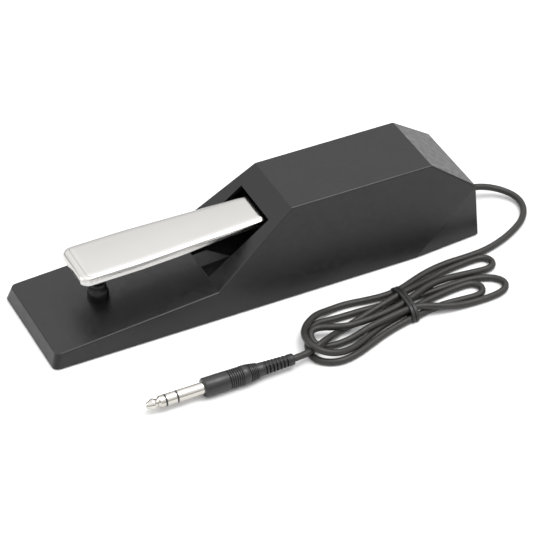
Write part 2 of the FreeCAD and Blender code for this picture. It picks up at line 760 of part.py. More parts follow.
def make_rest_stop_sleeve():
    """Rubber tube on the bar; the arm's web comes up against it."""
    start = Vector(-dim["bracket_inside"], front_y(dim["stop_at"]), stop_height())
    tube = cylinder("SleeveTube", "stop_sleeve_radius", "bracket_inside * 2", start, X_AXIS)
    bore = cylinder("SleeveBore", "stop_bar_radius", "bracket_inside * 2", start, X_AXIS)
    return cut_from("rest_stop_sleeve", tube, bore)


# ------------------------------------------------------------- return spring
def make_return_spring():
    seat_top = dim["mat_thick"] + dim["plate_thick"] + dim["seat_thick"]
    low = seat_top + dim["spring_wire"] + 0.1
    tall = dim["spring_top"] - low
    helix = doc.addObject("Part::Helix", "SpringPath")
    helix.Pitch = tall / dim["spring_turns"]
    helix.Height = tall
    bind(helix, "Radius", "spring_mean_radius")
    circle = doc.addObject("Part::Circle", "SpringWire")
    bind(circle, "Radius", "spring_wire")
    circle.Placement = FreeCAD.Placement(Vector(dim["spring_mean_radius"], 0, 0),
                                         FreeCAD.Rotation(X_AXIS, 90))
    sweep = doc.addObject("Part::Sweep", "return_spring")
    sweep.Sections = [circle]
    sweep.Spine = (helix, ["Edge1"])
    sweep.Solid = True
    sweep.Frenet = True
    sweep.Placement = FreeCAD.Placement(Vector(0, front_y(dim["spring_at"]), low), FreeCAD.Rotation())
    sweep.Label = "return_spring"
    doc.recompute()
    return sweep


def make_spring_seat():
    place = Vector(0, front_y(dim["spring_at"]), dim["mat_thick"] + dim["plate_thick"])
    disc = cylinder("SeatDisc", "seat_radius", "seat_thick", place)
    peg = cylinder("SeatPeg", "seat_peg_radius", "seat_thick + seat_peg_tall", place)
    return joined("spring_seat", [disc, peg])


def make_spring_peg():
    """Peg under the arm's web that keeps the spring's top in place."""
    web_low = dim["arm_top"] - dim["arm_web"]
    foot = on_lever(dim["spring_at"] - dim["pivot_at"], web_low - dim["seat_peg_tall"])
    peg = cylinder("spring_peg", "seat_peg_radius", "seat_peg_tall", foot)
    peg.Placement = FreeCAD.Placement(foot, FreeCAD.Rotation(X_AXIS, dim["rest_tilt"]))
    return peg


# -------------------------------------------------------------- front bumper
def make_front_bumper():
    """Rubber button on the base; its stem and barb hold it in the shell."""
    foot = dim["bumper_foot"]
    widest = dim["bumper_radius"]
    tall = dim["bumper_tall"]
    stem = dim["bumper_stem"]
    below = -dim["wall"] - 0.1
    barb = stem + 1.0
    shoulder = Vector(widest, 0, tall * 0.42)
    waist = Vector(foot, 0, 0)
    crown = Vector(1.2, 0, tall)
    bulge = Part.Arc(waist, Vector(widest - 0.1, 0, tall * 0.2), shoulder)
    dome = Part.Arc(shoulder, Vector(widest * 0.76, 0, tall * 0.84), crown)
    edges = [
        Part.LineSegment(Vector(0, 0, below - 1.6), Vector(stem, 0, below - 1.6)),
        Part.LineSegment(Vector(stem, 0, below - 1.6), Vector(barb, 0, below)),
        Part.LineSegment(Vector(barb, 0, below), Vector(stem, 0, below)),
        Part.LineSegment(Vector(stem, 0, below), Vector(stem, 0, 0)),
        Part.LineSegment(Vector(stem, 0, 0), waist),
        bulge,
        dome,
        Part.LineSegment(crown, Vector(0, 0, tall)),
        Part.LineSegment(Vector(0, 0, tall), Vector(0, 0, below - 1.6)),
    ]
    face = Part.Face(Part.Wire([edge.toShape() for edge in edges]))
    bumper = feature_of("front_bumper", face.revolve(Vector(0, 0, 0), Z_AXIS, 360))
    lean = math.degrees(math.atan(LID_SLOPE))
    place = Vector(0, front_y(dim["bumper_at"]), lid_height(dim["bumper_at"]))
    bumper.Placement = FreeCAD.Placement(place, FreeCAD.Rotation(X_AXIS, lean))
    return bumper


# ----------------------------------------------------------- position sensor
SENSOR_SCREWS = [(16.0, 212.0), (16.0, 223.0)]
SENSOR_SCREW_RADIUS = 1.5
SENSOR_HEAD_RADIUS = 2.8
SENSOR_HEAD_TALL = 1.8
TERMINALS = [213.0, 218.0, 223.0]
TERMINAL_FOOT = 14.5
# Each terminal's lead: height of its straight stretch, sideways spread, radius.
LEAD_LANES = [7.4, 9.0, 10.6]
LEAD_SPREAD = 1.4
LEAD_RADIUS = 0.55


def sensor_centre(beside):
    return on_lever(dim["sensor_reach"], 0, beside)


def make_sensor_fork():
    """Slotted tab under the arm's tail; the crank's pin sits in the slot."""
    body = new_body("sensor_fork")
    web_low = "arm_top - arm_web"
    sketch = sketch_on(body, "YZ_Plane", "SideProfile")
    outline(sketch, [
        (reach_of("arm_back_at - 6"), web_low),
        (reach_of("arm_back_at"), web_low),
        ("pin_reach + 5", "4"),
        ("pin_reach + 5", "-4"),
        ("pin_reach - 6", "-4"),
        ("pin_reach - 8", "2"),
    ])
    pad(body, sketch, "fork_half * 2", "Tab", both_ways=True)
    slot = sketch_on(body, "YZ_Plane", "Slot")
    outline(slot, [
        ("pin_reach - 2.6", "-fork_slot"), ("pin_reach + 2.6", "-fork_slot"),
        ("pin_reach + 2.6", "fork_slot"), ("pin_reach - 2.6", "fork_slot"),
    ])
    pocket(body, slot, "fork_half * 3", "CutSlot", both_ways=True)
    body.Placement = lever_placement()
    return body


def make_sensor_crank():
    """Crank on the potentiometer's shaft, with the pin that the slot moves."""
    width = "crank_far - crank_near"
    hub = cylinder("CrankHub", "crank_radius", width, sensor_centre(dim["crank_near"]), X_AXIS)
    pin_place = on_lever(dim["pin_reach"], 0, -dim["crank_near"] - 0.2)
    pin = cylinder("CrankPin", "pin_radius", "crank_far + crank_near + 0.2", pin_place, X_AXIS)
    end = cylinder("CrankEnd", "pin_radius + 1.2", width, on_lever(dim["pin_reach"], 0, dim["crank_near"]), X_AXIS)
    corner = on_lever(dim["pin_reach"], -dim["pin_radius"] - 1.2, dim["crank_near"])
    arm = box("CrankArm", width, "sensor_reach - pin_reach", "(pin_radius + 1.2) * 2", corner)
    arm.Placement = FreeCAD.Placement(corner, FreeCAD.Rotation(X_AXIS, dim["rest_tilt"]))
    solid = joined("CrankSolid", [hub, pin, end, arm])
    bore = cylinder("CrankBore", "shaft_radius", width, sensor_centre(dim["crank_near"]), X_AXIS)
    return cut_from("sensor_crank", solid, bore)


def make_sensor_shaft():
    start = sensor_centre(dim["crank_near"])
    return cylinder("sensor_shaft", "shaft_radius",
                    "pot_plate_near + pot_plate + 1 - crank_near", start, X_AXIS)


def make_potentiometer():
    """Round can with a threaded neck that the shaft turns in."""
    face = dim["pot_plate_near"] + dim["pot_plate"]
    neck_start = dim["crank_far"] + 0.4
    can = cylinder("PotCan", "pot_radius", "pot_deep", sensor_centre(face), X_AXIS)
    neck = cylinder("PotNeck", "pot_bush_radius",
                    "pot_plate_near + pot_plate - crank_far - 0.4", sensor_centre(neck_start), X_AXIS)
    bore = cylinder("PotBore", "shaft_radius + 0.05",
                    "pot_plate_near + pot_plate + 1.1 - crank_far - 0.4",
                    sensor_centre(neck_start), X_AXIS)
    return cut_from("potentiometer", joined("PotSolid", [can, neck]), bore)


def make_potentiometer_nut():
    thick = dim["pot_plate_near"] - dim["crank_far"] - 0.4
    blank = hexagon(dim["pot_nut_flat"], thick).cut(Part.makeCylinder(dim["pot_bush_radius"], thick))
    nut = feature_of("potentiometer_nut", blank)
    nut.Placement = FreeCAD.Placement(sensor_centre(dim["crank_far"] + 0.4),
                                      FreeCAD.Rotation(Z_AXIS, X_AXIS))
    return nut


def make_potentiometer_terminals():
    tabs = []
    face = dim["pot_plate_near"] + dim["pot_plate"]
    top = sensor_centre(0).z - dim["pot_radius"] * 0.6
    for distance in TERMINALS:
        place = Vector(face + 2.0, front_y(distance) - 0.9, TERMINAL_FOOT)
        tab = box("Terminal%d" % distance, "0.6", "1.8", "%s" % round(top - TERMINAL_FOOT, 3), place)
        tabs.append(tab)
    tabs_group = group("terminal_blanks", tabs)
    can = Part.makeCylinder(dim["pot_radius"], dim["pot_deep"], sensor_centre(face), X_AXIS)
    trimmed = feature_of("potentiometer_terminals", tabs_group.Shape.cut(can))
    return trimmed


def make_sensor_bracket():
    body = new_body("sensor_bracket")
    foot_end = "pot_plate_near + 12.5"
    sketch = sketch_on(body, "XZ_Plane", "Section", "-(sensor_back_at - body_length / 2)")
    outline(sketch, [
        ("pot_plate_near", PLATE_TOP), (foot_end, PLATE_TOP),
        (foot_end, PLATE_TOP + " + pot_plate"),
        ("pot_plate_near + pot_plate", PLATE_TOP + " + pot_plate"),
        ("pot_plate_near + pot_plate", "pot_plate_top"),
        ("pot_plate_near", "pot_plate_top"),
    ])
    pad(body, sketch, "18", "Angle")
    hole = sketch_on(body, "YZ_Plane", "NeckHole", "pot_plate_near")
    centre = sensor_centre(0)
    ring(hole, "%s" % round(centre.y, 4), "%s" % round(centre.z, 4), "pot_bush_radius")
    pocket(body, hole, "pot_plate * 2", "CutNeckHole", flip=True)
    feet = sketch_on(body, "XY_Plane", "ScrewHoles", PLATE_TOP + " + pot_plate")
    for beside, distance in SENSOR_SCREWS:
        ring(feet, "%s" % beside, along("%s" % distance), "%s" % SENSOR_SCREW_RADIUS)
    pocket(body, feet, "pot_plate", "CutScrewHoles")
    return body


def make_sensor_screws():
    return screws_from_above("sensor_screws", SENSOR_SCREWS, SENSOR_SCREW_RADIUS,
                             SENSOR_HEAD_RADIUS, SENSOR_HEAD_TALL, dim["pot_plate"])


# ------------------------------------------------------------- cable and plug
def bent_tube(label, route, radius, report):
    """Round tube: straight runs joined by tangent arcs as large as the runs allow."""
    spots = [Vector(beside, front_y(distance), height) for beside, distance, height in route]
    edges = []
    radii = []
    start = spots[0]
    for before, corner, after in zip(spots, spots[1:], spots[2:]):
        into = (corner - before).normalize()
        out = (after - corner).normalize()
        half_turn = into.getAngle(out) / 2
        tangent = 0.45 * min((corner - before).Length, (after - corner).Length)
        radii.append(tangent / math.tan(half_turn))
        arc_start = corner - into * tangent
        arc_end = corner + out * tangent
        inward = (out - into).normalize()
        depth = radii[-1] * (1 / math.cos(half_turn) - 1)
        edges.append(Part.LineSegment(start, arc_start).toShape())
        edges.append(Part.Arc(arc_start, corner + inward * depth, arc_end).toShape())
        start = arc_end
    edges.append(Part.LineSegment(start, spots[-1]).toShape())
    path = Part.Wire(edges)
    section = Part.Wire(Part.Circle(spots[0], spots[1] - spots[0], radius).toShape())
    tube = path.makePipeShell([section], True, True)
    expected = math.pi * radius ** 2 * path.Length
    if abs(tube.Volume / expected - 1) > 0.01:
        raise RuntimeError("%s: tube volume %.1f, expected %.1f" % (label, tube.Volume, expected))
    if report:
        print(label, "length %.1f radii %s" % (path.Length, [round(r, 1) for r in radii]))
    return tube


# Route of the free cable: beside the middle, behind the front edge, height.
CABLE_ROUTE = [
    (0.0, 239.0, 8.8), (0.0, 256.5, 8.5), (3.2, 272.0, 4.8), (15.0, 280.5, 2.6),
    (29.0, 275.0, 1.9), (39.0, 259.5, 1.8), (44.8, 243.0, 1.8), (45.6, 229.0, 1.8),
]
# From the hank to the plug's strain relief.
TAIL_ROUTE = [(80.0, 124.0, 2.6), (81.9, 109.3, 5.0)]
# Outer shape of the hank, once round: two loose lobes and the tied waist.
HANK_OUTLINE = [
    (53.6, 181.0), (48.6, 195.0), (45.2, 206.5), (43.8, 218.0), (44.4, 229.0), (48.0, 238.0),
    (53.5, 243.2), (61.0, 243.0), (67.5, 241.8), (74.0, 242.0), (79.6, 239.0), (81.9, 230.0),
    (82.0, 215.0), (80.2, 200.0), (78.4, 190.0), (78.8, 181.0), (81.6, 170.0), (86.0, 160.0),
    (90.4, 151.0), (93.6, 141.5), (95.0, 132.0), (93.4, 123.5), (88.0, 117.4), (81.0, 115.2),
    (72.0, 116.8), (62.0, 121.8), (54.6, 131.0), (51.4, 143.0), (51.6, 155.0), (53.2, 167.0),
]


def make_cable_gland():
    """Rubber bushing in the rear wall, with a tapering sleeve round the cable."""
    neck = dim["gland_neck"]
    cord = dim["cord_diameter"] / 2
    back = dim["body_length"]
    inner = back - dim["wall"] - 0.6
    outer = back - 0.05
    steps = [
        (inner - 2.0, cord), (inner - 2.0, neck + 1.6), (inner, neck + 1.6), (inner, neck),
        (outer, neck), (outer, neck + 1.4), (outer + 1.8, neck + 1.4),
        (outer + 2.4, neck - 0.6), (outer + 9.0, cord + 0.8), (outer + 9.0, cord),
    ]
    corners = [Vector(radius, 0, reach - back) for reach, radius in steps]
    face = Part.Face(Part.makePolygon(corners + corners[:1]))
    gland = feature_of("cable_gland", face.revolve(Vector(0, 0, 0), Z_AXIS, 360))
    gland.Placement = FreeCAD.Placement(Vector(0, front_y(back), dim["gland_height"]),
                                        FreeCAD.Rotation(Z_AXIS, Y_AXIS))
    return gland


def make_lead_wires():
    """Three thin leads, from the cable's inner end round the bracket to the terminals."""
    wires = []
    lane = dim["pot_plate_near"] + dim["pot_plate"] + 2.3
    entry = dim["gland_height"]
    for number, distance in enumerate(TERMINALS):
        beside = (number - 1) * LEAD_SPREAD
        height = LEAD_LANES[number]
        route = [
            (beside * 0.7, 239.0, entry),
            (beside * 0.7 + 3.5, 233.6, (entry + height) / 2 + beside * 0.4),
            (lane, 229.8 + beside, height),
            (lane, distance, height),
            (lane, distance - 0.05, TERMINAL_FOOT),
        ]
        tube = bent_tube("lead", route, LEAD_RADIUS, False)
        wires.append(feature_of("Lead%d" % number, tube))
    return group("lead_wires", wires)


def make_cord_run():
    return feature_of("cord_run", bent_tube("cord_run", CABLE_ROUTE, dim["cord_diameter"] / 2, True))


def make_cord_tail():
    return feature_of("cord_tail", bent_tube("cord_tail", TAIL_ROUTE, dim["cord_diameter"] / 2, True))


def make_cord_hank():
    spots = [Vector(beside, front_y(distance), 0) for beside, distance in HANK_OUTLINE]
    curve = Part.BSplineCurve()
    curve.interpolate(Points=spots, PeriodicFlag=True)
    blank = Part.Face(Part.Wire(curve.toShape())).extrude(Vector(0, 0, dim["hank_tall"]))
    rims = [edge for edge in blank.Edges if abs(edge.BoundBox.ZMax - edge.BoundBox.ZMin) < 0.01]
    return feature_of("cord_hank", blank.makeFillet(1.6, rims))


def make_cable_tie():
    """Flat band round the hank's waist."""
    thick = dim["tie_thick"]
    near, far = 53.2, 79.6
    low = 0.0
    high = dim["hank_tall"] + thick
    y = front_y(dim["tie_at"] - dim["tie_wide"] / 2)
    outer = Part.makeBox(far - near + 2 * thick, dim["tie_wide"], high - low,
                         Vector(near - thick, y, low))
    uprights = [edge for edge in outer.Edges
                if abs(edge.BoundBox.YMax - edge.BoundBox.YMin) > 1 and edge.BoundBox.ZMax > 1]
    outer = outer.makeFillet(2.4, uprights)
    inner = Part.makeBox(far - near, dim["tie_wide"], dim["hank_tall"], Vector(near, y, low))
    inner_edges = [edge for edge in inner.Edges
                   if abs(edge.BoundBox.YMax - edge.BoundBox.YMin) > 1 and edge.BoundBox.ZMax > 1]
    inner = inner.makeFillet(1.6, inner_edges)
    return feature_of("cable_tie", outer.cut(inner))


def on_plug(reach):
    """Place on the plug's axis, that far from its tip."""
    return Vector(dim["plug_beside"], front_y(dim["plug_tip_at"] + reach), dim["barrel_radius"])


CONTACT_ENDS = {"tip": 9.8, "first_band": 10.8, "ring": 16.0, "second_band": 17.0, "sleeve": 31.0}


def make_plug_tip():
    """Rounded cone with the notch that the socket's spring drops into."""
    full = dim["plug_radius"]
    steps = [(0.0, 0.9), (0.9, 1.7), (3.4, full - 0.25), (4.2, full - 0.25), (6.2, full - 1.15),
             (7.4, full), (CONTACT_ENDS["tip"], full)]
    return turned("plug_tip", steps, on_plug(0), Y_AXIS)


def plug_band(label, start, end, radius):
    return cylinder(label, radius, "%s" % (end - start), on_plug(start), Y_AXIS)


def make_plug_insulators():
    bands = [
        plug_band("FirstBand", CONTACT_ENDS["tip"], CONTACT_ENDS["first_band"], "plug_radius"),
        plug_band("SecondBand", CONTACT_ENDS["ring"], CONTACT_ENDS["second_band"], "plug_radius"),
    ]
    return group("plug_insulators", bands)


def make_plug_ring():
    return plug_band("plug_ring", CONTACT_ENDS["first_band"], CONTACT_ENDS["ring"], "plug_radius")


def make_plug_sleeve():
    return plug_band("plug_sleeve", CONTACT_ENDS["second_band"], CONTACT_ENDS["sleeve"], "plug_radius")


# Barrel and strain relief: (distance behind the barrel's face, radius).
BARREL_STEPS = [
    (0.0, 4.5), (0.5, 5.0), (13.6, 5.0), (14.0, 4.75), (20.8, 4.75), (21.2, 5.0),
    (24.8, 5.0), (25.3, 4.7), (30.0, 4.2), (30.0, 3.8), (32.6, 3.8),
]
RELIEF_STEPS = [
    (32.6, 3.5), (46.9, 2.9), (47.1, 3.1), (49.8, 3.0), (50.0, 2.6),
]


def make_plug_barrel():
    return turned("plug_barrel", BARREL_STEPS, on_plug(CONTACT_ENDS["sleeve"]), Y_AXIS)


def make_plug_relief():
    return turned("plug_relief", RELIEF_STEPS, on_plug(CONTACT_ENDS["sleeve"]), Y_AXIS)


# --------------------------------------------------------------------- build
SUB_PARTS = [
    make_housing_shell, make_inner_tongue, make_bottom_plate, make_rubber_mat, make_case_screws,
    make_lever_cap, make_lever_arm, make_cap_studs, make_cap_nuts, make_pivot_bushes,
    make_pivot_axle, make_axle_clips, make_pivot_bracket, make_bracket_screws,
    make_rest_stop_bar, make_rest_stop_sleeve, make_return_spring, make_spring_seat,
    make_spring_peg, make_front_bumper, make_sensor_fork, make_sensor_crank, make_sensor_shaft,
    make_potentiometer, make_potentiometer_nut, make_potentiometer_terminals,
    make_sensor_bracket, make_sensor_screws, make_cable_gland, make_lead_wires,
    make_cord_run, make_cord_tail, make_cord_hank, make_cable_tie,
    make_plug_tip, make_plug_insulators, make_plug_ring, make_plug_sleeve,
    make_plug_barrel, make_plug_relief,
]

sub_parts = [make() for make in SUB_PARTS]
doc.recompute()

failed = [item.Label for item in doc.Objects if {"Invalid", "Error"} & set(item.State)]
if failed:
    raise RuntimeError("objects that failed: %s" % ", ".join(failed))
for part in sub_parts:
    if part.Shape.isNull() or not part.Shape.isValid() or not part.Shape.Solids:
        raise RuntimeError("bad shape: " + part.Label)

for part in sub_parts:
    part.Shape.exportStep("parts/%s.step" % part.Label)
print("%d sub-parts written" % len(sub_parts))
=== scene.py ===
"""Sustain pedal: looks for the housing and its insides, lever cap, bumper, tied cable and plug."""
import json
import math
import bmesh
import bpy
from mathutils import Matrix, Vector


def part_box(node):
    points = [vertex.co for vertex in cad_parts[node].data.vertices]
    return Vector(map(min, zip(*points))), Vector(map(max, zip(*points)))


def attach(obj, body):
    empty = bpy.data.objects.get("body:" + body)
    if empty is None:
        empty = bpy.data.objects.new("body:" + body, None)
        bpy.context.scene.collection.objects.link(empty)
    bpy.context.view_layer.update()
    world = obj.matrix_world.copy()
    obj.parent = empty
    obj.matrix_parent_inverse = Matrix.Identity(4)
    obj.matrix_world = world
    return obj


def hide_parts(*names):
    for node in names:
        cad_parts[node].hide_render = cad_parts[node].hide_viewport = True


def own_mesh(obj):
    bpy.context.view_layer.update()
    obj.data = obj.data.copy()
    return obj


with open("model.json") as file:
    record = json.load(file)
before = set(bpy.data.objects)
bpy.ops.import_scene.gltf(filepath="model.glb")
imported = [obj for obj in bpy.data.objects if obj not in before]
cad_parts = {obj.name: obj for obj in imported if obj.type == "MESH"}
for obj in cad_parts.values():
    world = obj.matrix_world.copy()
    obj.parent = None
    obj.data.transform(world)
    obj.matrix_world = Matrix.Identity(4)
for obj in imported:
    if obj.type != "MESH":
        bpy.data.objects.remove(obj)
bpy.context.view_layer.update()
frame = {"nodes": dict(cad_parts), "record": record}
nodes = frame["nodes"]

MM = 0.001
FRONT = -122.7  # the base's front edge, mm along y


def at(beside, behind, height):
    """A point given in mm: beside the middle, behind the front edge, above the floor."""
    return Vector((beside, FRONT + behind, height)) * MM


# ------------------------------------------------------------------ camera
AZIMUTH = math.radians(63.82)
ELEVATION = math.radians(38.88)
DISTANCE = 1448.5
AIM = Vector((5.1, 9.5, 0.8))
SENSOR_WIDTH = 36.0
LENS = 186.45
NEAREST, FURTHEST = 0.05, 20.0  # metres


def place_camera():
    data = bpy.data.cameras.new("camera")
    data.sensor_width = SENSOR_WIDTH
    data.lens = LENS
    data.clip_start = NEAREST
    data.clip_end = FURTHEST
    camera = bpy.data.objects.new("camera", data)
    back = Vector((math.sin(AZIMUTH) * math.cos(ELEVATION),
                   -math.cos(AZIMUTH) * math.cos(ELEVATION),
                   math.sin(ELEVATION)))
    camera.location = (AIM + back * DISTANCE) * MM
    camera.rotation_euler = back.to_track_quat("Z", "Y").to_euler()
    bpy.context.scene.collection.objects.link(camera)
    bpy.context.scene.camera = camera


# ------------------------------------------------------------------- cable
CORD_DIAMETER = 3.6
CORD_SIDES = 5  # Blender's bevel resolution
CORD_STEPS = 10  # between two points of the route
# From the gland round behind the housing, then the hank's seven passes.
CORD_ROUTE = [
    (0, 239, 8.8), (0, 256.5, 8.5), (3.2, 272, 4.8), (15, 280.5, 2.6), (29, 275, 1.9),
    (39, 259.5, 1.8), (44.8, 243, 1.8),
    # along the side next to the pedal to the waist, then the outer front turn, on top
    (45.6, 229, 1.8), (45.4, 218, 1.8), (46.9, 206.5, 1.8), (50.2, 195.5, 1.8),
    (54.5, 185.5, 2.4), (55.6, 175.5, 2.4), (53.8, 165, 1.8), (52.0, 154.5, 1.8),
    (52.4, 144.5, 1.8), (55.6, 134.8, 4.4), (62.2, 126, 5.6), (70.6, 120.8, 7.4),
    (79.8, 120.4, 8.3), (86.4, 124.4, 7.0), (88.4, 132.8, 5.0), (85.6, 143.3, 3.2),
    (79.6, 154, 1.8), (75.2, 164.5, 1.8), (72.8, 174, 2.0), (70.8, 182.5, 1.8),
    # small rear loop
    (68.2, 191.5, 1.8), (66.8, 200.5, 1.8), (65.6, 211, 1.8), (65.3, 219.2, 1.8),
    (66.9, 223.0, 1.8), (70.6, 224.6, 1.8), (74.3, 223.0, 1.8), (75.9, 219.2, 1.8),
    (75.2, 211, 1.8), (74.2, 200.5, 1.8), (75, 190.5, 1.8), (77, 181, 2.2),
    # along the side away from the pedal, and round the front under the outer turn
    (79, 170.8, 1.8), (82, 160.8, 1.8), (85.8, 151.4, 1.8), (89.2, 142.6, 1.8), (91, 134, 1.8),
    (89.8, 127.6, 1.8), (86, 122.2, 1.8), (80, 120.0, 1.8), (73.4, 121.6, 1.8),
    (67.4, 125.2, 1.8), (61.4, 128.6, 1.8), (58.8, 134.4, 1.8), (59.8, 141.4, 1.8),
    (60.2, 149.5, 1.8), (60.4, 160, 1.8), (61.2, 170, 1.8), (62, 179.5, 2.2),
    # big rear loop
    (62.8, 189.5, 1.8), (62.6, 200, 1.8), (62.3, 211, 1.8), (62.4, 221, 1.8), (64.0, 229, 1.8),
    (67.6, 235.2, 1.8), (72.6, 237.6, 1.8), (77.2, 235, 1.8), (79.2, 229.6, 1.8),
    (79.8, 221, 1.8), (79.4, 211, 1.8), (78.4, 200.5, 3.2), (76.0, 191.5, 5.2),
    (73.2, 183.5, 5.4),
    # over the waist, and the inner front turn
    (74, 175, 5.6), (75.2, 165.5, 5.2), (76.6, 155.5, 4.8), (78, 145.5, 2.4), (78.6, 136.5, 1.8),
    (77.2, 129.2, 1.8), (74.2, 125.4, 3.0), (69.6, 125.0, 4.8), (66.2, 128.0, 5.4),
    (66.6, 133, 5.4), (69.0, 138, 5.4), (71.4, 145.5, 5.0), (71.6, 156, 5.0), (70.8, 167, 5.2),
    (69.2, 177, 5.6),
    # rear loop beside the incoming run
    (65.8, 186.5, 5.6), (61.6, 196, 5.2), (59.0, 206, 4.4), (58.3, 216, 3.0), (58.9, 226, 2.4),
    (59.3, 234.8, 2.0), (57.8, 238.5, 1.9), (54.1, 240.1, 1.8), (50.4, 238.5, 1.8),
    (48.9, 234.8, 1.8), (49.3, 226, 1.8), (50.6, 213, 1.8), (54, 202, 2.2), (58, 191.5, 4.4),
    # last pass, which dives under the turns to the plug
    (61.2, 181.5, 5.6), (63.4, 171.5, 5.0), (65.2, 161.5, 3.4), (66.8, 151.5, 1.8),
    (69.6, 142.5, 1.8), (73.8, 135.4, 4.2), (77.6, 128.4, 5.8), (80.4, 121.2, 5.0),
    (81.7, 114.5, 5.0), (81.9, 109.3, 5.0),
]


def add_cord():
    data = bpy.data.curves.new("cord", "CURVE")
    data.dimensions = "3D"
    data.bevel_depth = 1.0  # the thickness is in the points' radius
    data.bevel_resolution = CORD_SIDES
    data.resolution_u = CORD_STEPS
    data.use_fill_caps = True
    spline = data.splines.new("NURBS")
    spline.points.add(len(CORD_ROUTE) - 1)
    for point, spot in zip(spline.points, CORD_ROUTE):
        point.co = (*at(*spot), 1.0)
        point.radius = CORD_DIAMETER / 2 * MM
    spline.order_u = 3
    spline.use_endpoint_u = True
    cord = bpy.data.objects.new("cord", data)
    bpy.context.scene.collection.objects.link(cord)
    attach(cord, "base")
    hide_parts("cord_run", "cord_tail", "cord_hank")
    return cord


# --------------------------------------------------------------- materials
NOISE_MIDDLE = (0.3, 0.7)  # noise seldom leaves this range


class Finish:
    """One procedural material: a Principled shader whose look is built up call by call."""

    def __init__(self, name, colour, roughness, metallic=0.0, specular=0.5):
        self.material = bpy.data.materials.new(name)
        self.material.use_nodes = True
        self.tree = self.material.node_tree
        self.shader = self.tree.nodes["Principled BSDF"]
        self.shader.inputs["Base Color"].default_value = (*colour, 1)
        self.shader.inputs["Roughness"].default_value = roughness
        self.shader.inputs["Metallic"].default_value = metallic
        self.shader.inputs["Specular IOR Level"].default_value = specular
        self.place = self.tree.nodes.new("ShaderNodeTexCoord").outputs["Object"]

    def link(self, source, target):
        self.tree.links.new(source, target)

    def noise(self, per_metre, detail):
        """Noise whose features are about one over per_metre across."""
        texture = self.tree.nodes.new("ShaderNodeTexNoise")
        texture.inputs["Scale"].default_value = per_metre
        texture.inputs["Detail"].default_value = detail
        self.link(self.place, texture.inputs["Vector"])
        return texture.outputs["Fac"]

    def spread(self, value, low, high):
        """The value's middle range stretched onto low to high."""
        ranged = self.tree.nodes.new("ShaderNodeMapRange")
        ranged.inputs["From Min"].default_value = NOISE_MIDDLE[0]
        ranged.inputs["From Max"].default_value = NOISE_MIDDLE[1]
        ranged.inputs["To Min"].default_value = low
        ranged.inputs["To Max"].default_value = high
        self.link(value, ranged.inputs["Value"])
        return ranged.outputs["Result"]

    def mottle(self, value, first, second):
        """Colour that drifts between two near shades."""
        mix = self.tree.nodes.new("ShaderNodeMix")
        mix.data_type = "RGBA"
        mix.inputs["A"].default_value = (*first, 1)
        mix.inputs["B"].default_value = (*second, 1)
        self.link(self.spread(value, 0.0, 1.0), mix.inputs["Factor"])
        self.link(mix.outputs["Result"], self.shader.inputs["Base Color"])

    def patchy(self, value, low, high):
        """Roughness that varies with the value."""
        self.link(self.spread(value, low, high), self.shader.inputs["Roughness"])

    def bump(self, value, depth_mm, strength):
        """Shallow relief that catches the light; the shapes themselves are in the meshes."""
        node = self.tree.nodes.new("ShaderNodeBump")
        node.inputs["Strength"].default_value = strength
        node.inputs["Distance"].default_value = depth_mm * MM
        self.link(value, node.inputs["Height"])
        self.link(node.outputs["Normal"], self.shader.inputs["Normal"])


def moulded(name, dark, light, roughness, grain=2200, depth=0.05):
    """Spark-textured moulding: fine even grain, faint cloudiness."""
    look = Finish(name, dark, roughness)
    look.mottle(look.noise(60, 3), dark, light)
    look.patchy(look.noise(350, 3), roughness - 0.05, roughness + 0.07)
    look.bump(look.noise(grain, 1.5), depth, 0.6)
    return look.material


def rubber(name, dark, light, roughness):
    """Soft rubber or flexible jacket, dull and slightly uneven."""
    look = Finish(name, dark, roughness, specular=0.4)
    look.mottle(look.noise(140, 4), dark, light)
    look.patchy(look.noise(500, 2), roughness - 0.06, roughness + 0.08)
    look.bump(look.noise(900, 3), 0.06, 0.5)
    return look.material


def metal(name, dark, light, low, high):
    """Worked metal: a fine grain, and roughness that follows it."""
    look = Finish(name, light, low, metallic=1.0)
    grain = look.noise(900, 3)
    look.mottle(look.noise(120, 4), dark, light)
    look.patchy(grain, low, high)
    look.bump(grain, 0.012, 0.5)
    return look.material


def plated(name, dark, light, low, high):
    """Satin plating: no grain to see, only a faint drift of colour and gloss."""
    look = Finish(name, light, low, metallic=1.0)
    look.mottle(look.noise(40, 2), dark, light)
    look.patchy(look.noise(90, 2), low, high)
    return look.material


def grey(value):
    return (value, value, value * 0.99)


